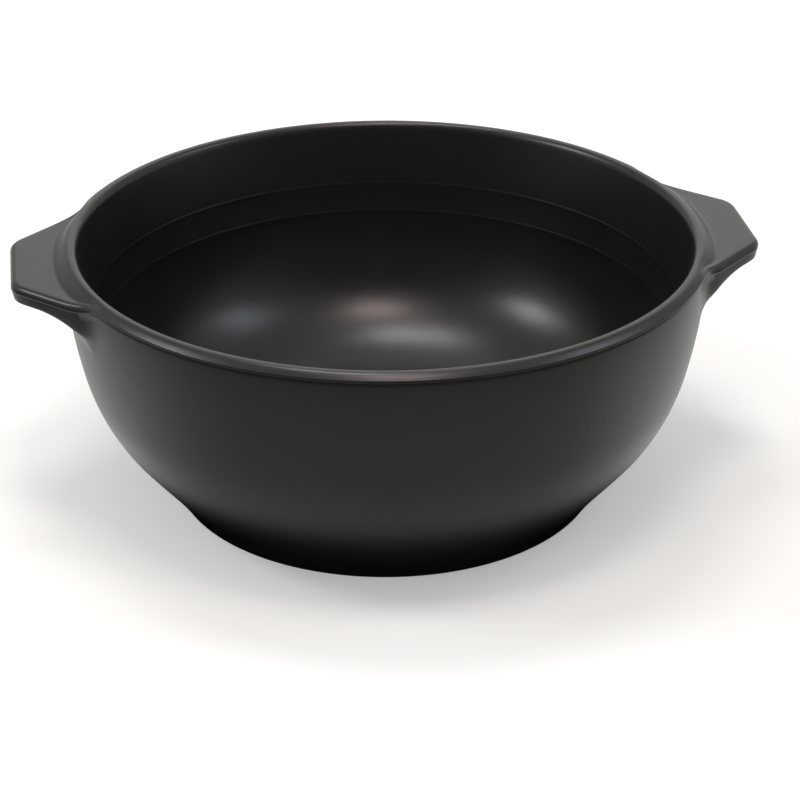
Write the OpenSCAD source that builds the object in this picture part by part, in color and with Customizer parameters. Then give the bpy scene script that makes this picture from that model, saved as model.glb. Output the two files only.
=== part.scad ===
// Small ceramic cocotte: one thrown and fired bowl with two lug handles that flow out of its lip.
// The foot stands on z = 0, the handles point along X, and all sizes are millimetres.

/* [Mouth and height] */
// Inside diameter of the mouth, between the inner edges of the rim
mouth_d = 166.2; // [150:0.2:190]
// Height of the pot, from the table to the top of the rim
height = 73.7; // [68:0.1:84]

/* [Rim and lip] */
// Distance from the mouth's edge to the highest line of the rim
crown_in = 1.7; // [1.2:0.1:2.2]
// Width of the level top of the rim
crown_flat = 0.5; // [0.2:0.1:1]
// Width of the whole rim, from the mouth's edge to the outside of the lip
rim_w = 4.8; // [4.2:0.1:6]
// Drop from the top of the rim to the widest line of the lip
lip_drop = 1.8; // [1.4:0.1:2.4]
// Rounding of the lip's edge
lip_edge = 0.45; // [0.3:0.05:0.8]
// Slope of the lip's top where it meets that edge, from the level, in degrees
lip_slope = 40; // [30:1:55]
// Height of the fine groove under the lip, below the lip's widest line
crease_drop = 0.4; // [0.3:0.05:0.8]
// Depth of the groove under the lip, in from the lip's widest line
crease_in = 0.65; // [0.5:0.05:0.9]
// Height of the soft shoulder under that groove, below the lip's widest line
shoulder_drop = 1.7; // [1.4:0.1:2.4]
// How far the shoulder lies in from the lip's widest line
shoulder_in = 0.5; // [0.4:0.05:0.8]

/* [Outer wall] */
// How far the wall draws in below the lip before the side height
side_in = 4; // [2.5:0.1:6]
// Height of the wall's side, where it begins to turn under
side_z = 40; // [36:0.5:44]
// Lean of the wall at the side height, from the upright, in degrees
side_lean = 13.2; // [9:0.1:17]
// How far the wall draws in between the groove and the belly height
belly_in = 13.3; // [11:0.1:15]
// Height of the belly, where the wall leans most
belly_z = 20; // [16:0.5:24]
// Lean of the wall at the belly, in degrees
belly_lean = 37.6; // [33:0.1:42]
// Lean of the wall where it reaches the foot, in degrees
foot_lean = 31.4; // [26:0.1:36]
// Diameter of the foot where its rounded edge meets the wall
foot_d = 118.2; // [110:0.2:126]
// Rounding of the foot's outer edge
foot_round = 1; // [0.6:0.1:1.6]

/* [Foot ring] */
// Width of the ring that the pot stands on
ring_w = 6; // [4:0.5:9]
// Depth of the hollow inside the ring
ring_depth = 1.6; // [1:0.1:2.4]
// Slope of the ring's inner side, measured as its width
ring_slope = 1.5; // [1:0.1:3]

/* [Inside] */
// Thickness of the bottom above the foot ring's hollow
floor_t = 7.5; // [6:0.1:9]
// Thickness of the wall at the belly, square to its surface
belly_t = 7.5; // [6:0.1:8.5]
// Radius of the level part of the bottom
floor_r = 34; // [26:0.5:40]
// Lean of the inner wall at the belly, in degrees
inner_belly_lean = 40; // [36:0.5:44]
// How far the upper ledge stands in from the mouth's edge
ledge_1_in = 3.9; // [3.4:0.1:4.5]
// Depth of the upper ledge, below the top of the rim
ledge_1_depth = 17.7; // [15:0.1:20]
// How far the lower ledge stands in from the mouth's edge
ledge_2_in = 5.8; // [5.3:0.1:6.5]
// Depth of the lower ledge, below the top of the rim
ledge_2_depth = 25.8; // [23.5:0.1:28]
// Width of the hollow above each ledge's edge
ledge_w = 0.3; // [0.2:0.05:0.8]
// Height of that hollow
ledge_h = 1.1; // [0.8:0.1:1.6]
// Lean of the hollow where it meets the ledge's edge, in degrees
ledge_lean = 24; // [18:1:45]
// Lean of the inner wall between the ledges, in degrees
inner_lean = 9; // [6:0.5:13]

/* [Lug handles] */
// Distance from the pot's centre to the end of each lug
lug_reach = 101; // [97:0.5:106]
// Width of a lug's end, before its corners are rounded
lug_end_w = 29.4; // [24:0.2:36]
// Angle of a lug's sides to its length, in degrees
lug_side_angle = 44; // [38:0.5:50]
// Rounding of a lug's corners, seen from above
lug_corner = 8; // [6:0.5:11]
// Rounding where a lug's sides flow into the lip, seen from above
lug_root = 20; // [12:1:28]
// Drop from the top of the rim to the lug's flat top
lug_top_drop = 2.7; // [2.2:0.1:3.4]
// Distance from the lip's widest line out to the valley where the lug's flat top begins
lug_valley = 2.1; // [1:0.1:3]
// Thickness of a lug at its end
lug_t = 5; // [4.2:0.1:6]
// Rounding of a lug's upper edge
lug_edge = 1.7; // [1:0.05:2]
// Rounding of a lug's lower edge
lug_under_edge = 0.8; // [0.5:0.05:1.1]
// Height of the fine groove under a lug's rounded edge
lug_groove = 0.5; // [0.3:0.05:0.8]
// Depth of that groove, in from the lug's outline
lug_groove_in = 0.45; // [0.3:0.05:0.8]
// How far a lug's lower edge stands in from its upper edge
lug_draft = 0.5; // [0.3:0.05:1]
// Radius of the sweep from a lug's underside into the wall
lug_sweep = 9.5; // [7:0.5:11]

/* [Hidden] */
glaze = "#2b2a28";

// Steps along each curve of a profile, and round each rounding
curve_steps = 9;
arc_steps = 6;
// Steps along a lug's edge: end, corner, side and root
end_steps = 3;
corner_steps = 7;
side_steps = 6;
root_steps = 10;
// A lug's shell starts this far inside the wall, and this far inside the lip
sunk = 0.12;
lip_sunk = 0.03;
// Degrees over which the lip turns into the lug, past either end of the root, and the steps outside the root
blend = 2;
blend_steps = 3;
// Lean of the wall at the shoulder, and of the groove's lower side, the other way, in degrees
wall_top_lean = 2;
crease_lean = 22;
// Sharpness of the ledges' edges, and the upright drop under each
ledge_round = 0.3;
ledge_drop = 1.6;

mouth_r = mouth_d / 2;
crown_r = mouth_r + crown_in;
lip_r = mouth_r + rim_w;
lip_z = height - lip_drop;
crease_r = lip_r - crease_in;
crease_z = lip_z - crease_drop;
foot_r = foot_d / 2;
shoulder = [lip_r - shoulder_in, lip_z - shoulder_drop];
belly_r = shoulder[0] - belly_in;

function mix(a, b, t) = a + (b - a) * t;
function clamp(x) = max(0, min(1, x));
function smooth(x) = clamp(x) * clamp(x) * (3 - 2 * clamp(x));
// A step that starts and ends without a bend
function ease(x) = x ^ 3 * (x * (6 * x - 15) + 10);
function unit(a) = [cos(a), sin(a)];
// Direction along a wall that leans out by this many degrees, going up
function up(lean) = [sin(lean), cos(lean)];

// Point at u on the curve from p to q that starts along s and ends along t
function bend(p, s, q, t, u) = let (k = norm(q - p))
    (2 * u ^ 3 - 3 * u ^ 2 + 1) * p + (u ^ 3 - 2 * u ^ 2 + u) * k * s
    + (3 * u ^ 2 - 2 * u ^ 3) * q + (u ^ 3 - u ^ 2) * k * t;
// Points of such a curve, without its first point
function run(p, s, q, t, n) = [for (i = [1:n]) bend(p, s, q, t, i / n)];
// Points of an elliptic quarter or less about c, from angle a to b
function arc(c, rx, ry, a, b, n) = [for (i = [0:n]) c + [rx * cos(mix(a, b, i / n)), ry * sin(mix(a, b, i / n))]];

// Outer wall, from the foot up to the shoulder
side = [shoulder[0] - side_in, side_z];
belly = [belly_r, belly_z];
foot_start = [foot_r, foot_round * (1 - sin(foot_lean))];
foot_mid = [foot_r - foot_round * cos(foot_lean), foot_round];
outer_wall = concat(
    [foot_start],
    run(foot_start, up(foot_lean), belly, up(belly_lean), curve_steps),
    run(belly, up(belly_lean), side, up(side_lean), curve_steps),
    run(side, up(side_lean), shoulder, up(wall_top_lean), curve_steps));

// Radius of the outer wall at a height, read off the same points
function wall_r(z) = lookup(z, [for (p = outer_wall) [p[1], p[0]]]);

// Lip and crown, from the shoulder up round the groove and over to the mouth
crease = [crease_r, crease_z];
crest = [crown_r + crown_flat, height];
lip_mid = [lip_r - lip_edge, lip_z];
lip_brink = lip_mid + lip_edge * unit(90 - lip_slope);
// Point at u from the crest down the lip's slope to its edge, on a lip drawn in by d
function lip_top(u, d) = bend(crest - [0, d], [1, 0], lip_brink - [d, d], [cos(lip_slope), -sin(lip_slope)], u);
lip_over = concat(
    run(shoulder, up(wall_top_lean), crease, up(-crease_lean), 3),
    arc([crease_r, lip_z], crease_in, crease_drop, -75, 0, arc_steps),
    [for (i = [1:3]) lip_mid + lip_edge * unit((90 - lip_slope) * i / 3)],
    [for (i = [arc_steps - 1:-1:0]) lip_top(i / arc_steps, 0)],
    [[crown_r, height]]);

// Inside, from the mouth down to the bottom
crown_side = [mouth_r - 0.1, height - crown_in - 0.4];
ledge_1 = [mouth_r - ledge_1_in, height - ledge_1_depth];
ledge_2 = [mouth_r - ledge_2_in, height - ledge_2_depth];
inner_belly = belly + belly_t * [-cos(belly_lean), sin(belly_lean)];
floor_z = floor_t + ring_depth;
// Upper end of a ledge's rounded edge
function ledge_brink(p) = p + [ledge_round, 0] + ledge_round * unit(180 - ledge_lean);
// A ledge's upper side, its rounded edge and the upright drop under it
function ledge(p) = concat(
    [ledge_brink(p) + [ledge_w, ledge_h]],
    run(ledge_brink(p) + [ledge_w, ledge_h], -up(inner_lean + 3), ledge_brink(p), -up(ledge_lean), arc_steps),
    arc(p + [ledge_round, 0], ledge_round, ledge_round, 170 - ledge_lean, 180, 3),
    [p - [0, ledge_drop]]);
inside = concat(
    run([crown_r, height], [-1, 0], crown_side, -up(inner_lean + 3), arc_steps),
    ledge(ledge_1),
    ledge(ledge_2),
    run(ledge_2 - [0, ledge_drop], -up(inner_lean), inner_belly, -up(inner_belly_lean), curve_steps),
    run(inner_belly, -up(inner_belly_lean), [floor_r, floor_z], [-1, 0], curve_steps));

// Corners of a lug's plan: an end line, a rounded corner, a side line and a hollow root
reach_c = lug_reach - lug_corner;
side_n = [sin(lug_side_angle), cos(lug_side_angle)];
side_c = side_n * [lug_reach, lug_end_w / 2];
corner = [reach_c, (side_c - lug_corner - side_n[0] * reach_c) / side_n[1]];
root_far = lip_r - sunk + lug_root;
root_a = 90 - lug_side_angle - acos((side_c + lug_root) / root_far);
root = root_far * unit(root_a);

// Polar angles where those stretches meet, for an outline drawn in by d
function end_a(d) = atan2(corner[1], lug_reach - d);
function corner_a(d) = let (p = corner + side_n * (lug_corner - d)) atan2(p[1], p[0]);
function side_a(d) = let (p = root - side_n * (lug_root + d)) atan2(p[1], p[0]);

// Radius of a lug's outline in direction a, drawn in by d all along its edge
function lug_r(a, d) =
    abs(a) < end_a(d) ? (lug_reach - d) / cos(a)
    : abs(a) < corner_a(d) ? ray_arc(abs(a), corner, lug_corner - d, 1)
    : abs(a) < side_a(d) ? (side_c - d) / (side_n * unit(abs(a)))
    : abs(a) < root_a ? ray_arc(abs(a), root, lug_root + d, -1)
    : lip_r - sunk - d;
function ray_arc(a, c, r, far) = let (b = c * unit(a)) b + far * sqrt(max(0, b * b - c * c + r * r));

lug_angles = let (half = concat(
        [for (i = [0:end_steps - 1]) end_a(0) * i / end_steps],
        [for (i = [0:corner_steps - 1]) mix(end_a(0), corner_a(0), i / corner_steps)],
        [for (i = [0:side_steps - 1]) mix(corner_a(0), side_a(0), i / side_steps)],
        [for (i = [0:root_steps - 1]) mix(side_a(0), root_a, i / root_steps)],
        [for (i = [0:blend_steps]) root_a + blend * i / blend_steps]),
        n = len(half))
    concat([for (i = [n - 1:-1:1]) -half[i]], half);

lug_top = height - lug_top_drop;
lug_low = lug_top - lug_t;
lug_crease_z = lug_top - lug_edge - lug_groove;

// A lug's underside is level, then sweeps down into the wall. Point a share s of the way from stand-out t to the
// wall, as [stand-out, height]
function under(t, s) =
    let (
        level = max(0, t - lug_sweep),
        first = asin(1 - min(1, t / lug_sweep)),
        d = s * (level + lug_sweep * (90 - first) * PI / 180),
        a = first + (d - level) / lug_sweep * 180 / PI)
    d < level ? [t - d, lug_low] : [lug_sweep * (1 - sin(a)), lug_low - lug_sweep * (1 - cos(a))];
// The same point as [radius, height], sinking into the wall towards its end
function under_point(t, s) = let (p = under(t, s)) [wall_r(p[1]) + p[0] - sunk * s, p[1]];
// Point at u on a rounded corner from p over the corner c to q
function round_off(p, c, q, u) = (1 - u) ^ 2 * p + 2 * u * (1 - u) * c + u ^ 2 * q;

// Section of a lug in direction a, as points [radius, height] from the rim over its edge to the wall
function lug_section(a) =
    let (
        edge = lug_r(a, lug_edge),
        width = lip_r + lug_valley - crest[0],
        room = edge - 0.2 - crest[0],
        valley_w = (width ^ -3 + room ^ -3) ^ (-1 / 3),
        valley = crest[0] + valley_w,
        top = mix(lip_z, lug_top, smooth(valley_w / width)),
        low_r = lug_r(a, lug_draft),
        low_t = max(0.1, low_r - wall_r(lug_low)),
        end_t = max(0.05, lug_r(a, lug_draft + lug_under_edge) - wall_r(lug_low)),
        low = [low_r, under(low_t, 0)[1]],
        low_start = low + [0, lug_under_edge])
    concat(
        [for (i = [0:8]) [mix(crest[0], valley, i / 8), mix(height - lip_sunk, top, ease(i / 8))]],
        [[mix(valley, edge, 0.5), top]],
        [for (i = [0:4]) [lug_r(a, lug_edge * (1 - sin(22.5 * i))), mix(top, lug_top - lug_edge, 1 - cos(22.5 * i))]],
        [[lug_r(a, lug_groove_in * 0.4), mix(lug_top - lug_edge, lug_crease_z, 0.6)]],
        [[lug_r(a, lug_groove_in), lug_crease_z]],
        [[lug_r(a, mix(lug_groove_in, lug_draft, 0.5)), mix(lug_crease_z, low_start[1], 0.5)]],
        [for (i = [0:3]) round_off(low_start, low, under_point(end_t, 0), i / 3)],
        [for (i = [1:6]) under_point(end_t, i / 6)]);

// Section of the pot's own lip and wall with the same number of points, a little inside their surface
function body_section() = concat(
    [for (i = [0:10]) lip_top(i / 10, lip_sunk)],
    [for (i = [1:3]) lip_mid + (lip_edge - lip_sunk) * unit((90 - lip_slope) * (1 - i / 3))],
    [crease + lip_sunk * [-1, 1]],
    [for (p = run(crease, -up(-crease_lean), shoulder, -up(wall_top_lean), 3)) p - [lip_sunk, 0]],
    [for (i = [1:10]) let (z = mix(shoulder[1], lug_low - lug_sweep, i / 10)) [wall_r(z) - sunk, z]]);

// The lug as a shell of sections, closed inside the wall
module lug() {
    sections = [for (a = lug_angles)
        let (
            w = smooth((root_a + blend - abs(a)) / (root_a + 2 * blend - side_a(0))),
            l = lug_section(a),
            b = body_section())
        concat(
            [for (k = [0:len(l) - 1]) mix(b[k], l[k], w)],
            [[mouth_r - 1, lug_low - lug_sweep - 1], [mouth_r - 1, height - 1.2]])];
    rows = len(sections);
    cols = len(sections[0]);
    polyhedron(
        points = [for (i = [0:rows - 1]) for (p = sections[i]) [p[0] * cos(lug_angles[i]), p[0] * sin(lug_angles[i]), p[1]]],
        faces = concat(
            [for (i = [0:rows - 2]) for (k = [0:cols - 1]) let (m = (k + 1) % cols)
                each [[i * cols + k, (i + 1) * cols + k, i * cols + m], [(i + 1) * cols + k, (i + 1) * cols + m, i * cols + m]]],
            [[for (k = [0:cols - 1]) k]],
            [[for (k = [cols - 1:-1:0]) (rows - 1) * cols + k]]));
}

// Room for the lugs in the lip, which their own shells fill again. Its sides keep clear of the shells' own edges
module lug_room() {
    clear = 0.1;
    open_a = root_a + blend - 3 * clear;
    near = crest[0] - clear;
    low = shoulder[1] + clear;
    for (turn = [0, 180])
        rotate([0, 0, turn - open_a])
        rotate_extrude(angle = 2 * open_a, $fn = 180)
            polygon([[near, low], [lip_r + 1, low], [lip_r + 1, height + 1], [near, height + 1]]);
}

// The thrown bowl without its hollow
module bowl() {
    rotate_extrude($fn = 180)
        polygon(concat(
            [[0, 0]],
            arc(foot_mid, foot_round, foot_round, -90, -foot_lean, arc_steps),
            [for (i = [1:len(outer_wall) - 1]) outer_wall[i]],
            lip_over,
            [[0, height]]));
}

// The hollow of the bowl, with its two ledges
module hollow() {
    rotate_extrude($fn = 180)
        polygon(concat([[0, height + 1], [crown_r, height + 1], [crown_r, height]], inside, [[0, floor_z]]));
}

// The shallow hollow inside the foot ring
module foot_hollow() {
    ring_in = foot_mid[0] - ring_w;
    rotate_extrude($fn = 180)
        polygon([[0, -1], [ring_in, -1], [ring_in, 0], [ring_in - ring_slope, ring_depth], [0, ring_depth]]);
}

module pot() {
    color(glaze)
    difference() {
        union() {
            difference() {
                bowl();
                lug_room();
            }
            lug();
            rotate([0, 0, 180]) lug();
        }
        hollow();
        foot_hollow();
    }
}

pot();
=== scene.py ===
"""Black glazed stoneware cocotte with two lug handles, on a pale floor in soft studio light."""

import logging
import math
from bisect import bisect_left
from dataclasses import dataclass, field
from enum import Enum
from functools import cached_property

import bmesh
import bpy
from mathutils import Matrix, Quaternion, Vector
from mathutils.kdtree import KDTree


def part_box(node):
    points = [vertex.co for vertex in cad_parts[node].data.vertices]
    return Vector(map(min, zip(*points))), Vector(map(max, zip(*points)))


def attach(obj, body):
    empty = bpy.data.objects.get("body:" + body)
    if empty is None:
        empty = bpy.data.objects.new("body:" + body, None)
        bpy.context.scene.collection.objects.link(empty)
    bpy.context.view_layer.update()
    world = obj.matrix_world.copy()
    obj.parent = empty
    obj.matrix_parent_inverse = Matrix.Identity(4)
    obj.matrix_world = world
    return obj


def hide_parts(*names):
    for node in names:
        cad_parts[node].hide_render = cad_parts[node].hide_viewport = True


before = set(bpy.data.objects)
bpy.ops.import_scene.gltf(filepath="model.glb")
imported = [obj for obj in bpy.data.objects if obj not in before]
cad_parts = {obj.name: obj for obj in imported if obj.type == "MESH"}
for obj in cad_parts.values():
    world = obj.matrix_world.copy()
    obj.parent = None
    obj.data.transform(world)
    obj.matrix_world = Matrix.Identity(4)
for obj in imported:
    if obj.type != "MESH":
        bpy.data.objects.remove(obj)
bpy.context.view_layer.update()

log = logging.getLogger("cocotte")

MM = 0.001
Point = tuple[float, float]
Span = tuple[float, float]
Triple = tuple[float, float, float]
Colour = tuple[float, float, float, float]
WHITE: Colour = (1.0, 1.0, 1.0, 1.0)


def mix(a: float, b: float, t: float) -> float:
    """Value a share t of the way from a to b."""
    return a + (b - a) * t


def smooth(x: float) -> float:
    """Eased step from 0 at x = 0 to 1 at x = 1."""
    x = max(0.0, min(1.0, x))
    return x * x * (3 - 2 * x)


def up(lean: float) -> Point:
    """Direction up a wall that leans outwards by some degrees."""
    return math.sin(math.radians(lean)), math.cos(math.radians(lean))


def down(lean: float) -> Point:
    """Direction down a wall that leans outwards by some degrees."""
    return -math.sin(math.radians(lean)), -math.cos(math.radians(lean))


def run(start: Point, leaving: Point, end: Point, arriving: Point, count: int) -> list[Point]:
    """Points of the smooth curve between two points, without its first point.

    Args:
        start: Where the curve begins.
        leaving: Unit direction of the curve at its start.
        end: Where the curve ends.
        arriving: Unit direction of the curve at its end.
        count: Number of points.

    Returns:
        The points, the last of them at the end.
    """
    pull = math.dist(start, end)
    points = []
    for i in range(1, count + 1):
        u = i / count
        a, b = 2 * u**3 - 3 * u**2 + 1, (u**3 - 2 * u**2 + u) * pull
        c, d = 3 * u**2 - 2 * u**3, (u**3 - u**2) * pull
        points.append(tuple(a * start[k] + b * leaving[k] + c * end[k] + d * arriving[k] for k in (0, 1)))
    return points


def arc(centre: Point, radii: Point, start: float, end: float, count: int) -> list[Point]:
    """Points of an upright ellipse's arc, both ends included.

    Args:
        centre: Middle of the ellipse.
        radii: Its half width and half height.
        start: First angle in degrees, from outwards towards up.
        end: Last angle in degrees.
        count: Number of steps between the ends.

    Returns:
        The points in order.
    """
    turns = [math.radians(mix(start, end, i / count)) for i in range(count + 1)]
    return [(centre[0] + radii[0] * math.cos(t), centre[1] + radii[1] * math.sin(t)) for t in turns]


class Socket:
    """A node's output, or a plain number, with which shader maths is written as Python expressions."""

    def __init__(self, tree: "NodeTree", source: "bpy.types.NodeSocket | float") -> None:
        """Keep the tree and what the value comes from."""
        self.tree = tree
        self.source = source

    def _math(self, operation: str, *values: "Socket | float") -> "Socket":
        """Add one Math node that works on these values."""
        return self.tree.add("ShaderNodeMath", dict(enumerate(values)), operation=operation)

    def __add__(self, other: "Socket | float") -> "Socket":
        """Sum."""
        return self._math("ADD", self, other)

    __radd__ = __add__

    def __sub__(self, other: "Socket | float") -> "Socket":
        """Difference."""
        return self._math("SUBTRACT", self, other)

    def __rsub__(self, other: float) -> "Socket":
        """Difference from a number."""
        return self._math("SUBTRACT", other, self)

    def __mul__(self, other: "Socket | float") -> "Socket":
        """Product."""
        return self._math("MULTIPLY", self, other)

    __rmul__ = __mul__

    def __abs__(self) -> "Socket":
        """Size without its sign."""
        return self._math("ABSOLUTE", self)

    def larger(self, other: "Socket | float") -> "Socket":
        """The larger of the two."""
        return self._math("MAXIMUM", self, other)

    def step(self, low: float, high: float) -> "Socket":
        """Eased step from 0 at low to 1 at high, or the other way round where low is the larger."""
        values = {"Value": self, "From Min": low, "From Max": high}
        return self.tree.add("ShaderNodeMapRange", values, interpolation_type="SMOOTHSTEP")


class NodeTree:
    """A material's or the world's nodes, added one method call at a time."""

    def __init__(self, owner: "bpy.types.Material | bpy.types.World") -> None:
        """Empty the owner's node tree, to be built anew.

        Args:
            owner: The material or the world that the nodes belong to.
        """
        owner.use_nodes = True
        self.nodes = owner.node_tree.nodes
        self.links = owner.node_tree.links
        self.nodes.clear()

    def add(self, kind: str, inputs: "dict[str | int, object] | None" = None, output: "str | int" = 0,
            **settings: object) -> Socket:
        """Add a node.

        Args:
            kind: The node's type.
            inputs: Values or links of its sockets, by name or index.
            output: The output that is wanted, by name or index.
            **settings: The node's own settings, set before its sockets.

        Returns:
            The wanted output.
        """
        node = self.nodes.new(kind)
        for name, value in settings.items():
            setattr(node, name, value)
        for name, value in (inputs or {}).items():
            if isinstance(value, Socket) and isinstance(value.source, bpy.types.NodeSocket):
                self.links.new(value.source, node.inputs[name])
            else:
                node.inputs[name].default_value = value.source if isinstance(value, Socket) else value
        return Socket(self, node.outputs[output] if len(node.outputs) else 0.0)

    def place(self) -> Socket:
        """Where a point lies on the piece, in metres."""
        return self.add("ShaderNodeTexCoord", output="Object")

    def noise(self, scale: float, detail: float = 2.0, roughness: float = 0.5) -> Socket:
        """Cloudy noise with this many clouds to the metre."""
        inputs = {"Vector": self.place(), "Scale": scale, "Detail": detail, "Roughness": roughness}
        return self.add("ShaderNodeTexNoise", inputs, noise_dimensions="3D")

    def along(self, way: Socket, direction: Triple) -> Socket:
        """How far a vector reaches along a direction."""
        vectors = {0: way, 1: direction}
        return self.add("ShaderNodeVectorMath", vectors, output="Value", operation="DOT_PRODUCT")

    def length(self, way: Socket) -> Socket:
        """Length of a vector."""
        return self.add("ShaderNodeVectorMath", {0: way}, output="Value", operation="LENGTH")

    def blend(self, share: "Socket | float", a: "Socket | Colour", b: "Socket | Colour") -> Socket:
        """Colour a share of the way from a to b."""
        # The Mix node's sockets for colours and for numbers share their names, so they are told by place
        return self.add("ShaderNodeMix", {0: share, 6: a, 7: b}, output=2, data_type="RGBA")

    def glow(self, colour: Colour, strength: "Socket | float") -> Socket:
        """Emission of a colour and strength."""
        return self.add("ShaderNodeEmission", {"Color": colour, "Strength": strength})

    def mix_shaders(self, share: Socket, a: Socket, b: Socket) -> Socket:
        """Shader a share of the way from a to b."""
        return self.add("ShaderNodeMixShader", {0: share, 1: a, 2: b})


@dataclass(frozen=True)
class Glaze:
    """Satin black glaze over dark stoneware, with the bare clay of the foot ring's face."""

    name: str = "black_glaze"
    body: Colour = (0.0120, 0.0115, 0.0105, 1.0)
    deep: Colour = (0.0100, 0.0096, 0.0088, 1.0)
    thin: Colour = (0.0170, 0.0150, 0.0125, 1.0)
    clay: Colour = (0.060, 0.050, 0.042, 1.0)
    gloss_low: float = 0.28
    gloss_high: float = 0.31
    clay_roughness: float = 0.85
    ior: float = 1.5
    # Clouds of the glaze's tone, its gentle waves, the clay's grains and the glaze's specks, to the metre
    cloud_scale: float = 38.0
    wave_scale: float = 190.0
    grain_scale: float = 1500.0
    speck_scale: float = 900.0
    # Noise values between which the clouds and the specks come up
    cloud_edge: Span = (0.2, 0.8)
    speck_edge: Span = (0.70, 0.78)
    # Shares of the thin glaze's colour in a speck and along a ledge's edge
    speck_share: float = 0.1
    arris_share: float = 0.2
    # Heights of the waves and the grain, in metres
    wave_height: float = 0.030 * MM
    grain_height: float = 0.02 * MM
    # The clay shows below this height, give or take the wander of the wiped line
    wiped_to: float = 0.35 * MM
    wiped_edge: float = 0.1 * MM
    wander: float = 0.25 * MM
    # Half width of the thin glaze along an inside ledge's edge
    arris: float = 0.35 * MM

    def material(self, arrises: list[Point]) -> bpy.types.Material:
        """Make the material.

        Args:
            arrises: Radius and height of each edge where the glaze runs thin, in metres.

        Returns:
            The glaze's material.
        """
        material = bpy.data.materials.new(self.name)
        tree = NodeTree(material)
        place = tree.place()
        height = tree.add("ShaderNodeSeparateXYZ", {"Vector": place}, output="Z")
        flat = tree.add("ShaderNodeVectorMath", {0: place, 1: (1.0, 1.0, 0.0)}, operation="MULTIPLY")
        radius = tree.length(flat)

        clouds = tree.noise(self.cloud_scale, detail=1.0)
        waves = tree.noise(self.wave_scale, detail=1.0)
        grain = tree.noise(self.grain_scale, detail=2.0)
        specks = tree.noise(self.speck_scale, detail=0.0).step(*self.speck_edge)
        bare = (height + (clouds - 0.5) * self.wander).step(self.wiped_to + self.wiped_edge, self.wiped_to)

        thin: Socket | float = 0.0
        for edge_radius, edge_height in arrises:
            away = abs(radius - edge_radius) + abs(height - edge_height)
            thin = thin + away.step(self.arris, 0.0)

        cloudy = clouds.step(*self.cloud_edge)
        tone = tree.blend(cloudy, self.deep, self.body)
        tone = tree.blend(specks * self.speck_share, tone, self.thin)
        tone = tree.blend(thin * self.arris_share, tone, self.thin)
        tone = tree.blend(bare, tone, self.clay)
        gloss = self.gloss_low + cloudy * (self.gloss_high - self.gloss_low)
        roughness = gloss + (self.clay_roughness - gloss) * bare
        relief = waves * self.wave_height + grain * bare * self.grain_height
        raised = {"Height": relief, "Strength": 1.0, "Distance": 1.0}
        bump = tree.add("ShaderNodeBump", raised, output="Normal")
        surface = {"Base Color": tone, "Roughness": roughness, "Normal": bump, "IOR": self.ior}
        shader = tree.add("ShaderNodeBsdfPrincipled", surface)
        tree.add("ShaderNodeOutputMaterial", {"Surface": shader})
        return material


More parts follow.
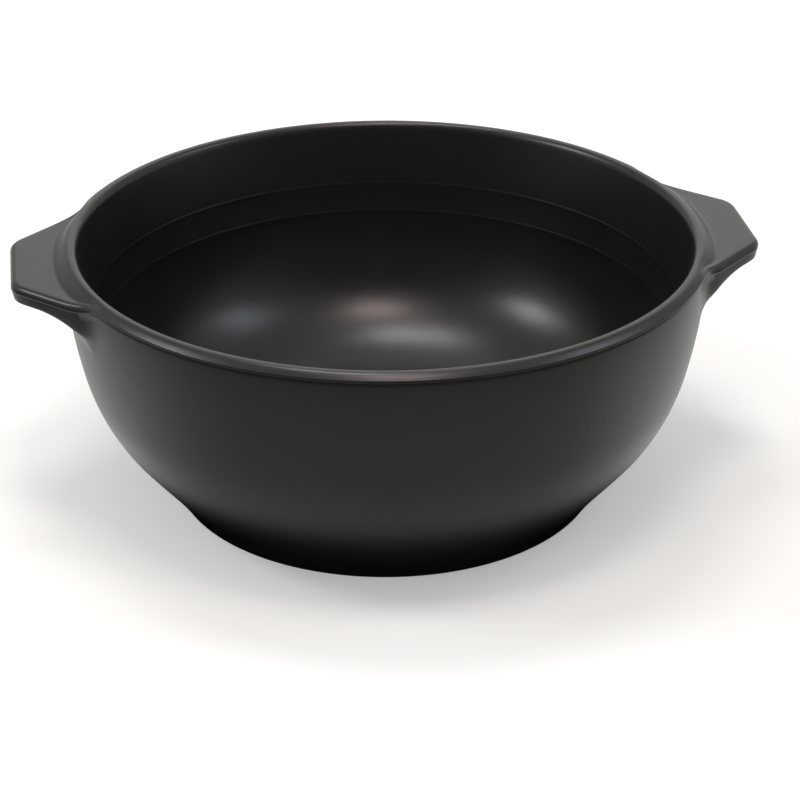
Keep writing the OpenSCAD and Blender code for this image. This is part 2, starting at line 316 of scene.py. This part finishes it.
@dataclass(frozen=True)
class Bowl:
    """The thrown bowl's section in millimetres, from the underside up and over the lip to the inside."""

    lip_r: float
    height: float
    rim_w: float = 4.8
    crown_in: float = 1.7
    crown_flat: float = 0.5
    lip_drop: float = 1.8
    lip_edge: float = 0.6
    lip_slope: float = 40.0
    crease_drop: float = 0.4
    crease_in: float = 0.65
    crease_lean: float = -22.0
    shoulder_drop: float = 1.7
    shoulder_in: float = 0.5
    shoulder_lean: float = 2.0
    side_in: float = 4.0
    side_z: float = 40.0
    side_lean: float = 13.2
    belly_in: float = 13.3
    belly_z: float = 20.0
    belly_lean: float = 37.6
    foot_r: float = 59.1
    foot_lean: float = 31.4
    foot_round: float = 1.0
    ring_w: float = 6.0
    ring_depth: float = 1.6
    ring_slope: float = 1.5
    ring_edge: float = 0.3
    floor_t: float = 7.5
    floor_r: float = 34.0
    belly_t: float = 7.5
    inner_belly_lean: float = 40.0
    inner_lean: float = 9.0
    throat_in: float = 0.1
    throat_drop: float = 0.4
    throat_lean: float = 12.0
    ledge_w: float = 0.3
    ledge_h: float = 1.1
    ledge_lean: float = 24.0
    ledge_round: float = 0.3
    ledge_drop: float = 1.6
    # How far each ledge stands in from the mouth's edge, and its depth below the top of the rim
    ledges_at: tuple[Point, Point] = ((3.9, 17.7), (5.8, 25.8))
    # Steps of each of the outer wall's three stretches, of the fine round edges of the lip and the ledges,
    # of the foot ring's and a ledge's curves, and of the inside: its throat, its wall and its bottom
    wall_steps: int = 60
    edge_steps: int = 5
    ring_steps: int = 8
    ledge_steps: int = 8
    throat_steps: int = 10
    inner_steps: int = 14
    bottom_steps: int = 16
    # Shares of the way down to the first ledge, and of the flat bottom's radius, at which there are points
    throat_shares: Span = (0.33, 0.67)
    bottom_shares: Triple = (0.66, 0.33, 0.0)

    @cached_property
    def mouth_r(self) -> float:
        """Radius of the mouth's edge."""
        return self.lip_r - self.rim_w

    @cached_property
    def crest(self) -> Point:
        """Outer end of the rim's level top, where the lip begins to fall."""
        return self.mouth_r + self.crown_in + self.crown_flat, self.height

    @cached_property
    def crease(self) -> Point:
        """Bottom of the fine groove under the lip."""
        return self.lip_r - self.crease_in, self.height - self.lip_drop - self.crease_drop

    @cached_property
    def shoulder(self) -> Point:
        """Soft shoulder under the groove, where the outer wall ends."""
        return self.lip_r - self.shoulder_in, self.height - self.lip_drop - self.shoulder_drop

    @cached_property
    def belly(self) -> Point:
        """Where the outer wall leans most."""
        return self.shoulder[0] - self.belly_in, self.belly_z

    @cached_property
    def foot_mid(self) -> Point:
        """Middle of the foot's rounded edge."""
        return self.foot_r - self.foot_round * math.cos(math.radians(self.foot_lean)), self.foot_round

    @cached_property
    def wall(self) -> list[Point]:
        """Outer wall, closely stepped.

        Returns:
            Its points from the foot up to the shoulder.
        """
        start = self.foot_r, self.foot_round * (1 - math.sin(math.radians(self.foot_lean)))
        side = self.shoulder[0] - self.side_in, self.side_z
        points = [start]
        points += run(start, up(self.foot_lean), self.belly, up(self.belly_lean), self.wall_steps)
        points += run(self.belly, up(self.belly_lean), side, up(self.side_lean), self.wall_steps)
        points += run(side, up(self.side_lean), self.shoulder, up(self.shoulder_lean), self.wall_steps)
        return points

    @cached_property
    def wall_heights(self) -> list[float]:
        """Heights of the outer wall's points."""
        return [z for _, z in self.wall]

    def wall_r(self, z: float) -> float:
        """Radius of the outer wall at a height.

        Args:
            z: The height.

        Returns:
            The radius there.
        """
        i = min(max(bisect_left(self.wall_heights, z), 1), len(self.wall) - 1)
        (r0, z0), (r1, z1) = self.wall[i - 1:i + 1]
        return mix(r0, r1, max(0.0, min(1.0, (z - z0) / (z1 - z0))))

    def lip(self, count: int) -> list[Point]:
        """Section over the lip, down its slope and round its edge.

        Args:
            count: Number of points.

        Returns:
            The points, from after the crest to the lip's widest line.
        """
        middle = self.lip_r - self.lip_edge, self.height - self.lip_drop
        edge = arc(middle, (self.lip_edge, self.lip_edge), 90 - self.lip_slope, 0, self.edge_steps)
        slope = math.radians(self.lip_slope)
        falling = math.cos(slope), -math.sin(slope)
        return run(self.crest, (1.0, 0.0), edge[0], falling, count - self.edge_steps) + edge[1:]

    def groove(self, count: int) -> list[Point]:
        """Section under the lip, round the fine groove.

        Args:
            count: Number of points.

        Returns:
            The points, from after the lip's widest line down to the shoulder.
        """
        centre = self.crease[0], self.height - self.lip_drop
        under = count // 2
        points = arc(centre, (self.crease_in, self.crease_drop), 0, -90, under)[1:]
        leaving, arriving = down(self.crease_lean), down(self.shoulder_lean)
        return points + run(self.crease, leaving, self.shoulder, arriving, count - under)

    def underside(self) -> list[Point]:
        """Section of the underside and the foot ring.

        Returns:
            Its points from the middle out to the foot's rounded edge.
        """
        ring_in = self.foot_mid[0] - self.ring_w
        hollow = ring_in - self.ring_slope, self.ring_depth
        points = [(0.0, self.ring_depth), (hollow[0] * 0.5, self.ring_depth), hollow]
        points += run(hollow, (1.0, 0.0), (ring_in + self.ring_edge, 0.0), (1.0, 0.0), self.ring_steps)
        points += [(ring_in + self.ring_w * 0.5, 0.0)]
        rounding = self.foot_round, self.foot_round
        return points + arc(self.foot_mid, rounding, -90, -self.foot_lean, self.ring_steps)

    def ledge(self, inwards: float, depth: float) -> list[Point]:
        """Section of a ledge inside.

        Args:
            inwards: How far the ledge stands in from the mouth's edge.
            depth: Its depth below the top of the rim.

        Returns:
            The points of its hollow upper side, its fine round edge and the upright drop under it.
        """
        r, z = self.mouth_r - inwards, self.height - depth
        rounding = self.ledge_round, self.ledge_round
        edge = arc((r + self.ledge_round, z), rounding, 180 - self.ledge_lean, 180, self.edge_steps)
        start = edge[0][0] + self.ledge_w, edge[0][1] + self.ledge_h
        hollow = run(start, down(self.throat_lean), edge[0], down(self.ledge_lean), self.ledge_steps)
        return [start] + hollow[:-1] + edge + [(r, z - self.ledge_drop)]

    @cached_property
    def arrises(self) -> list[Point]:
        """Radius and height of the ledges' edges."""
        return [(self.mouth_r - inwards, self.height - depth) for inwards, depth in self.ledges_at]

    def inside(self) -> list[Point]:
        """Section of the inside.

        Returns:
            Its points from the rim's level top down to the middle of the bottom.
        """
        crown = self.mouth_r + self.crown_in, self.height
        throat = self.mouth_r - self.throat_in, self.height - self.crown_in - self.throat_drop
        upper, lower = (self.ledge(*at) for at in self.ledges_at)
        belly = (self.belly[0] - self.belly_t * math.cos(math.radians(self.belly_lean)),
                 self.belly[1] + self.belly_t * math.sin(math.radians(self.belly_lean)))
        floor_z = self.floor_t + self.ring_depth
        leaning = down(self.inner_belly_lean)
        points = [crown]
        points += run(crown, (-1.0, 0.0), throat, down(self.throat_lean), self.throat_steps)
        for share in self.throat_shares:
            points.append((mix(throat[0], upper[0][0], share), mix(throat[1], upper[0][1], share)))
        points += upper + lower
        points += run(lower[-1], down(self.inner_lean), belly, leaning, self.inner_steps)
        points += run(belly, leaning, (self.floor_r, floor_z), (-1.0, 0.0), self.bottom_steps)
        return points + [(self.floor_r * share, floor_z) for share in self.bottom_shares]


@dataclass(frozen=True)
class Lug:
    """One lug handle: its plan, and its section in any direction from the pot's middle, in millimetres."""

    bowl: Bowl
    reach: float
    end_w: float = 29.4
    side_angle: float = 44.0
    corner: float = 8.0
    root: float = 20.0
    top_drop: float = 2.7
    valley: float = 2.1
    thickness: float = 5.0
    edge: float = 1.7
    under_edge: float = 0.8
    groove: float = 0.5
    groove_in: float = 0.45
    # Directions, in degrees from the lug's middle line, between which the groove fades in
    groove_from: Span = (6.0, 13.0)
    draft: float = 0.5
    sweep: float = 9.5
    # Least width of the flat top, and least distances from the wall of the side's and the edge's lower ends
    least_top: float = 0.2
    least_side: float = 0.1
    least_under: float = 0.05
    # Degrees over which the lip turns into the lug, past either end of the root
    blend: float = 2.0
    # Steps of a section: rim to valley, flat top, rounded edge, groove, side, lower edge and sweep
    steps: tuple[int, int, int, int, int, int, int] = (16, 2, 8, 10, 2, 6, 14)

    @cached_property
    def top(self) -> float:
        """Height of the lug's flat top."""
        return self.bowl.height - self.top_drop

    @cached_property
    def low(self) -> float:
        """Height of the lug's underside."""
        return self.top - self.thickness

    @cached_property
    def sweep_end(self) -> float:
        """Height at which the underside's sweep has met the wall everywhere."""
        return self.low - self.sweep

    @cached_property
    def side(self) -> Triple:
        """A side line in plan.

        Returns:
            The line's outward normal and its distance from the pot's middle.
        """
        turn = math.radians(self.side_angle)
        nx, ny = math.sin(turn), math.cos(turn)
        return nx, ny, nx * self.reach + ny * self.end_w / 2

    @cached_property
    def corner_mid(self) -> Point:
        """A rounded corner in plan.

        Returns:
            The middle of its arc.
        """
        nx, ny, far = self.side
        x = self.reach - self.corner
        return x, (far - self.corner - nx * x) / ny

    @cached_property
    def root_mid(self) -> Point:
        """The hollow rounding between a side and the lip in plan.

        Returns:
            The middle of its arc.
        """
        away = self.bowl.lip_r + self.root
        turn = math.radians(90 - self.side_angle) - math.acos((self.side[2] + self.root) / away)
        return away * math.cos(turn), away * math.sin(turn)

    @cached_property
    def root_end(self) -> float:
        """Direction in which the root meets the lip, in radians from the lug's middle line."""
        return math.atan2(self.root_mid[1], self.root_mid[0])

    @cached_property
    def half_angle(self) -> float:
        """Direction from which the pot has its plain lip, in radians from the lug's middle line."""
        return self.root_end + math.radians(self.blend)

    def side_end(self, inwards: float) -> float:
        """Where the side line meets the root.

        Args:
            inwards: How far the outline is drawn in.

        Returns:
            The direction of that point in radians, from the lug's middle line.
        """
        nx, ny, _ = self.side
        qx, qy = self.root_mid
        return math.atan2(qy - ny * (self.root + inwards), qx - nx * (self.root + inwards))

    def outline(self, angle: float, inwards: float) -> float:
        """Distance from the pot's middle to the lug's outline, drawn in all along its edge.

        Args:
            angle: Direction in radians, from the lug's middle line.
            inwards: How far the outline is drawn in.

        Returns:
            The distance in that direction.
        """
        angle = abs(angle)
        nx, ny, far = self.side
        cx, cy = self.corner_mid
        side_start = math.atan2(cy + ny * (self.corner - inwards), cx + nx * (self.corner - inwards))
        if angle < math.atan2(cy, self.reach - inwards):
            return (self.reach - inwards) / math.cos(angle)
        if angle < side_start:
            return self.ray_to_arc(angle, self.corner_mid, self.corner - inwards, 1)
        if angle < self.side_end(inwards):
            return (far - inwards) / (nx * math.cos(angle) + ny * math.sin(angle))
        if angle < self.root_end:
            return self.ray_to_arc(angle, self.root_mid, self.root + inwards, -1)
        return self.bowl.lip_r - inwards

    @staticmethod
    def ray_to_arc(angle: float, centre: Point, radius: float, far: int) -> float:
        """Distance from the pot's middle to a circle's far (1) or near (-1) side."""
        along = centre[0] * math.cos(angle) + centre[1] * math.sin(angle)
        return along + far * math.sqrt(max(0.0, along**2 - centre[0]**2 - centre[1]**2 + radius**2))

    def under(self, stand_out: float, share: float) -> Point:
        """Point of the underside, which is level and then sweeps down into the wall.

        Args:
            stand_out: How far the underside's outer end stands out from the wall.
            share: Share of the way from that end to the wall.

        Returns:
            The point's radius and height.
        """
        level = max(0.0, stand_out - self.sweep)
        first = math.asin(1 - min(1.0, stand_out / self.sweep))
        way = share * (level + self.sweep * (math.pi / 2 - first))
        if way < level:
            return self.bowl.wall_r(self.low) + stand_out - way, self.low
        turn = first + (way - level) / self.sweep
        z = self.low - self.sweep * (1 - math.cos(turn))
        return self.bowl.wall_r(z) + self.sweep * (1 - math.sin(turn)), z

    def section(self, angle: float) -> list[Point]:
        """The lug's section in a direction.

        Args:
            angle: Direction in radians, from the lug's middle line.

        Returns:
            The points, from after the rim's crest over the lug's edge down to the wall.
        """
        fall, flat, rounding, grooved, sides, lower, swept = self.steps
        brink = self.outline(angle, self.edge)
        crest = self.bowl.crest[0]
        room = brink - self.least_top - crest
        width = self.bowl.lip_r + self.valley - crest
        # Soft minimum of the two: the valley narrows smoothly where the lug runs out of room at its root
        valley_w = (width**-3 + room**-3)**(-1 / 3)
        valley = crest + valley_w
        top = mix(self.bowl.height - self.bowl.lip_drop, self.top, smooth(valley_w / width))
        wall = self.bowl.wall_r(self.low)
        low_r = self.outline(angle, self.draft)
        stand_out = max(self.least_side, low_r - wall)
        end_out = max(self.least_under, self.outline(angle, self.draft + self.under_edge) - wall)
        low = low_r, self.under(stand_out, 0.0)[1]
        start, end = (low_r, low[1] + self.under_edge), self.under(end_out, 0.0)
        groove_z = self.top - self.edge - self.groove
        fade_start, fade_end = self.groove_from
        groove_in = self.groove_in * smooth((math.degrees(angle) - fade_start) / (fade_end - fade_start))

        points = []
        for i in range(1, fall + 1):
            share = i / fall
            points.append((mix(crest, valley, share), mix(self.bowl.height, top, smooth(share))))
        points += [(mix(valley, brink, i / (flat + 1)), top) for i in range(1, flat + 1)]
        for i in range(rounding + 1):
            turn = math.pi / 2 * i / rounding
            z = mix(top, self.top - self.edge, 1 - math.cos(turn))
            points.append((self.outline(angle, self.edge * (1 - math.sin(turn))), z))
        for i in range(1, grooved + 1):
            turn = math.pi / 2 * i / grooved
            z = mix(self.top - self.edge, groove_z, math.sin(turn))
            points.append((self.outline(angle, groove_in * (1 - math.cos(turn))), z))
        for i in range(1, sides + 1):
            share = i / (sides + 1)
            z = mix(groove_z, start[1], share)
            points.append((self.outline(angle, mix(groove_in, self.draft, share)), z))
        for i in range(lower + 1):
            u = i / lower
            weights = (1 - u)**2, 2 * u * (1 - u), u**2
            points.append(tuple(sum(w * p[k] for w, p in zip(weights, (start, low, end))) for k in (0, 1)))
        return points + [self.under(end_out, i / swept) for i in range(1, swept + 1)]

    @cached_property
    def plain(self) -> list[Point]:
        """The pot's own lip, groove and wall, where there is no lug.

        Returns:
            As many points as a section of the lug has, in the same order.
        """
        fall, flat, rounding, grooved, sides, lower, swept = self.steps
        count = sides + lower + 1 + swept
        heights = [mix(self.bowl.shoulder[1], self.sweep_end, i / count) for i in range(1, count + 1)]
        lip = self.bowl.lip(fall + flat + rounding + 1)
        return lip + self.bowl.groove(grooved) + [(self.bowl.wall_r(z), z) for z in heights]

    def shaped(self, angle: float) -> list[Point]:
        """The pot's section in a direction, where the plain lip turns into the lug along the root.

        Args:
            angle: Direction in radians, from the lug's middle line.

        Returns:
            The points, as those of the lug's section.
        """
        turning = 2 * self.half_angle - self.root_end - self.side_end(0.0)
        share = smooth((self.half_angle - angle) / turning)
        pairs = zip(self.plain, self.section(angle))
        return [(mix(p[0], q[0], share), mix(p[1], q[1], share)) for p, q in pairs]


@dataclass
class Pot:
    """The pot: one glazed bowl with two lug handles drawn out of its lip."""

    bowl: Bowl
    lug: Lug
    glaze: Glaze = field(default_factory=Glaze)
    name: str = "pot_glazed"
    # Steps round the pot, and steps up the wall below the lugs
    stations: int = 480
    wall_rows: int = 30
    # Angle past which an edge is drawn sharp, and the distance within which doubled vertices are merged
    sharp_angle: float = 50.0
    weld: float = 0.001 * MM

    @classmethod
    def from_frame(cls) -> "Pot":
        """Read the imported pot's size off its node's corners.

        Returns:
            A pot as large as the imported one.
        """
        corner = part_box("pot")[1] / MM
        bowl = Bowl(lip_r=corner.y, height=corner.z)
        return cls(bowl=bowl, lug=Lug(bowl=bowl, reach=corner.x))

    @cached_property
    def lower(self) -> list[Point]:
        """Section of the underside, the foot and the wall below the lugs.

        Returns:
            The points in millimetres, from the middle outwards and up.
        """
        foot = self.bowl.underside()
        first, last, count = foot[-1][1], self.lug.sweep_end, self.wall_rows
        heights = [mix(first, last, i / count) for i in range(1, count)]
        return foot + [(self.bowl.wall_r(z), z) for z in heights]

    @cached_property
    def profile(self) -> list[Point]:
        """Section of the whole bowl with its plain lip, in metres."""
        points = self.lower + self.lug.plain[::-1] + [self.bowl.crest] + self.bowl.inside()
        return [(r * MM, z * MM) for r, z in points]

    def draw_profile(self) -> None:
        """Shrink a plane to one vertex and extrude it along the section."""
        bpy.ops.object.select_all(action="DESELECT")
        bpy.ops.mesh.primitive_plane_add(size=MM, location=(0.0, 0.0, 0.0))
        bpy.context.object.name = self.name
        bpy.context.object.data.name = self.name
        bpy.ops.object.mode_set(mode="EDIT")
        bpy.ops.mesh.select_all(action="SELECT")
        bpy.ops.mesh.merge(type="CENTER")
        here = (0.0, 0.0)
        for i, (r, z) in enumerate(self.profile):
            step = {"value": (r - here[0], 0.0, z - here[1])}
            if i == 0:
                bpy.ops.transform.translate(**step)
            else:
                bpy.ops.mesh.extrude_vertices_move(TRANSFORM_OT_translate=step)
            here = (r, z)

    def turn(self) -> None:
        """Spin the section into the bowl and close its two poles."""
        bpy.ops.mesh.select_all(action="SELECT")
        bpy.ops.mesh.spin(steps=self.stations, angle=math.tau, center=(0.0, 0.0, 0.0), axis=(0.0, 0.0, 1.0),
                          use_auto_merge=True)
        bpy.ops.mesh.select_all(action="SELECT")
        bpy.ops.mesh.remove_doubles(threshold=self.weld)

    def raise_lugs(self) -> None:
        """Draw the lugs out of the lip: each meridian that crosses a lug takes the lug's section there.

        No operator gives this form, so the vertices of the lip and the wall under it are moved in code.
        """
        table = KDTree(len(self.profile))
        for row, (r, z) in enumerate(self.profile):
            table.insert((r, z, 0.0), row)
        table.balance()
        first = len(self.lower)
        band = range(first, first + len(self.lug.plain))
        sections: dict[int, list[Point]] = {}
        mesh = bmesh.from_edit_mesh(bpy.context.object.data)
        for vertex in mesh.verts:
            x, y, z = vertex.co
            row = table.find((math.hypot(x, y), z, 0.0))[1]
            turn = math.atan2(y, x)
            away = abs(turn) if abs(turn) < math.pi / 2 else math.pi - abs(turn)
            if row not in band or away >= self.lug.half_angle:
                continue
            station = round(away / math.tau * self.stations)
            if station not in sections:
                sections[station] = self.lug.shaped(math.tau * station / self.stations)[::-1]
            r, z = sections[station][row - first]
            vertex.co = (r * MM * math.cos(turn), r * MM * math.sin(turn), z * MM)
        bmesh.update_edit_mesh(bpy.context.object.data)

    def build(self) -> bpy.types.Object:
        """Make the pot.

        Returns:
            The glazed pot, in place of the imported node.
        """
        self.draw_profile()
        self.turn()
        self.raise_lugs()
        bpy.ops.mesh.select_all(action="SELECT")
        bpy.ops.mesh.normals_make_consistent(inside=False)
        bpy.ops.object.mode_set(mode="OBJECT")
        bpy.ops.object.shade_smooth_by_angle(angle=math.radians(self.sharp_angle))
        pot = bpy.context.object
        arrises = [(r * MM, z * MM) for r, z in self.bowl.arrises]
        pot.data.materials.append(self.glaze.material(arrises))
        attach(pot, "root")
        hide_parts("pot")
        return pot


class Side(Enum):
    """Where a softbox stands, as azimuth from straight ahead and elevation, in degrees."""

    LEFT = (-88.5, 42.0)
    LOW_LEFT = (-77.0, 41.0)
    RIGHT = (97.0, 46.0)
    BEHIND = (179.0, 75.0)
    ABOVE = (-30.0, 80.5)
    AHEAD = (5.0, 52.0)


@dataclass(frozen=True)
class Softbox:
    """A soft rectangular lamp that faces the pot."""

    side: Side
    size: Span
    radiance: float
    colour: Triple = (1.0, 1.0, 1.0)
    distance: float = 1.0
    turn: float = 0.0

    def build(self) -> bpy.types.Object:
        """Hang the lamp.

        Returns:
            The lamp's object, which faces the pot's middle.
        """
        azimuth, elevation = (math.radians(angle) for angle in self.side.value)
        level = math.cos(elevation)
        way = Vector((math.sin(azimuth) * level, math.cos(azimuth) * level, math.sin(elevation)))
        lamp = bpy.data.lights.new(f"softbox_{self.side.name.lower()}", "AREA")
        lamp.shape = "RECTANGLE"
        lamp.size, lamp.size_y = self.size
        lamp.color = self.colour
        lamp.energy = self.radiance * math.pi * self.size[0] * self.size[1]
        holder = bpy.data.objects.new(lamp.name, lamp)
        holder.location = way * self.distance
        holder.rotation_mode = "QUATERNION"
        spin = Quaternion((0.0, 0.0, 1.0), math.radians(self.turn))
        holder.rotation_quaternion = (-way).to_track_quat("-Z", "Y") @ spin
        bpy.context.scene.collection.objects.link(holder)
        return holder


@dataclass
class Studio:
    """Pale floor, white surround, softboxes and the camera."""

    floor_size: float = 12.0
    floor_colour: Colour = (0.90, 0.90, 0.89, 1.0)
    floor_roughness: float = 0.5
    # Light that the camera sees on top of the floor's own, and where the floor fades to plain white
    floor_lift: float = 0.27
    floor_fade: Span = (0.2, 1.2)
    # Painted reflection: the floor as the glaze mirrors it is a glow, black at the foot as painted contact
    # shadow, bright round the pot and dimmer on the camera's side as painted shade
    floor_painted_reflection: Triple = (0.0, 0.84, 0.49)
    foot_shadow_fade: Span = (0.062, 0.090)
    # The floor's painted reflection ends in the dim room, as painted shade, but not behind the pot
    floor_end: Span = (0.17, 0.27)
    end_edge: Span = (-0.6, 0.0)
    # Surround as it lights surfaces, and as they mirror it: beside, ahead and in the dim room at the camera
    sky_tint: Colour = (1.0, 1.0, 0.96, 1.0)
    fill: float = 0.5
    beside: float = 0.55
    ahead: float = 1.05
    ahead_side: Triple = (0.22, 0.914, 0.342)
    ahead_edge: Span = (0.86, 0.98)
    room: float = 0.10
    room_side: Triple = (-0.14, -0.99, 0.0)
    room_edge: Span = (0.10, 0.80)
    softboxes: tuple[Softbox, ...] = (
        Softbox(Side.LEFT, (0.22, 0.20), 10.5, (0.93, 0.98, 1.0)),
        Softbox(Side.LOW_LEFT, (0.18, 0.20), 4.3, (0.93, 0.98, 1.0)),
        Softbox(Side.RIGHT, (0.22, 0.34), 3.5, (0.76, 0.87, 1.0)),
        Softbox(Side.BEHIND, (0.24, 0.22), 10.2, (1.0, 0.80, 0.77)),
        Softbox(Side.ABOVE, (0.30, 0.17), 11.5, turn=-50.0),
        Softbox(Side.AHEAD, (0.55, 0.45), 0.7),
    )
    # The camera's place, the point it looks at and its lens
    stand: Triple = (-0.0856, -0.6093, 0.3367)
    aim: Triple = (0.0051, 0.0075, 0.0184)
    lens: float = 110.8
    sensor: float = 36.0

    def light_path(self, tree: NodeTree, *rays: str) -> Socket:
        """Tell the rays of some kinds.

        Args:
            tree: The nodes to add to.
            *rays: The kinds, as the Light Path node names them.

        Returns:
            1 for a ray of one of these kinds, otherwise 0.
        """
        first, *others = (tree.add("ShaderNodeLightPath", output=f"Is {ray} Ray") for ray in rays)
        for other in others:
            first = first.larger(other)
        return first

    def build_floor(self) -> bpy.types.Object:
        """Lay the floor, which keeps the pot's shadow, fades to white far off and shows the glaze a glow
        with painted shade.

        Returns:
            The floor.
        """
        bpy.ops.object.select_all(action="DESELECT")
        bpy.ops.mesh.primitive_plane_add(size=self.floor_size, location=(0.0, 0.0, 0.0))
        floor = bpy.context.object
        floor.name = "floor"
        material = bpy.data.materials.new("pale_floor")
        tree = NodeTree(material)
        place = tree.place()
        far = tree.length(place)
        seen = self.light_path(tree, "Camera", "Transmission")
        paint = {"Color": self.floor_colour, "Roughness": self.floor_roughness}
        painted = tree.add("ShaderNodeBsdfDiffuse", paint)
        near = tree.add("ShaderNodeAddShader", {0: painted, 1: tree.glow(WHITE, seen * self.floor_lift)})
        surface = tree.mix_shaders(far.step(*self.floor_fade) * seen, near, tree.glow(WHITE, 1.0))

        # Painted reflection: glossy rays see a glow instead of the lit floor, black at the foot as painted
        # contact shadow, dimmer on the camera's side and far off in front as painted shade
        foot_painted_shadow, around, front_painted_shade = self.floor_painted_reflection
        way = tree.add("ShaderNodeVectorMath", {0: place}, operation="NORMALIZE", output="Vector")
        front = tree.along(way, self.room_side)
        bright = around + front.step(*self.room_edge) * (front_painted_shade - around)
        bright = foot_painted_shadow + far.step(*self.foot_shadow_fade) * (bright - foot_painted_shadow)
        ended = far.step(*self.floor_end) * front.step(*self.end_edge)
        bright = bright + ended * (self.room - bright)
        mirrored = tree.glow(self.sky_tint, bright)
        surface = tree.mix_shaders(self.light_path(tree, "Glossy"), surface, mirrored)
        tree.add("ShaderNodeOutputMaterial", {"Surface": surface})
        floor.data.materials.append(material)
        return floor

    def build_surround(self) -> None:
        """Make the white surround, with the dim room that the glaze mirrors behind the camera."""
        world = bpy.data.worlds.new("surround")
        bpy.context.scene.world = world
        tree = NodeTree(world)
        way = tree.add("ShaderNodeTexCoord", output="Generated")
        ahead = tree.along(way, self.ahead_side).step(*self.ahead_edge)
        behind = tree.along(way, self.room_side).step(*self.room_edge)
        mirrored = self.beside + ahead * (self.ahead - self.beside)
        mirrored = mirrored + behind * (self.room - mirrored)
        seen = self.light_path(tree, "Camera", "Transmission")
        glossy = self.light_path(tree, "Glossy")
        lit = self.fill + glossy * (mirrored - self.fill)
        strength = lit + seen * (1.0 - lit)
        tint = tree.blend(seen, self.sky_tint, WHITE)
        sky = tree.add("ShaderNodeBackground", {"Color": tint, "Strength": strength})
        tree.add("ShaderNodeOutputWorld", {"Surface": sky})

    def build_camera(self) -> bpy.types.Object:
        """Set up the camera at the photograph's angle.

        Returns:
            The camera.
        """
        camera = bpy.data.objects.new("camera", bpy.data.cameras.new("camera"))
        camera.data.lens = self.lens
        camera.data.sensor_width = self.sensor
        camera.location = self.stand
        camera.rotation_mode = "QUATERNION"
        camera.rotation_quaternion = (Vector(self.aim) - Vector(self.stand)).to_track_quat("-Z", "Y")
        bpy.context.scene.collection.objects.link(camera)
        bpy.context.scene.camera = camera
        return camera

    def build(self) -> None:
        """Set up everything round the pot."""
        self.build_floor()
        self.build_surround()
        for softbox in self.softboxes:
            softbox.build()
        self.build_camera()
        bpy.context.scene.view_settings.view_transform = "Standard"


def main() -> None:
    """Build the pot and the studio, and report each piece."""
    logging.basicConfig(level=logging.INFO, format="%(message)s")
    pot = Pot.from_frame().build()
    log.info("%s: %d faces", pot.name, len(pot.data.polygons))
    Studio().build()
    log.info("floor, surround, softboxes and camera")


if __name__ == "__main__":
    main()
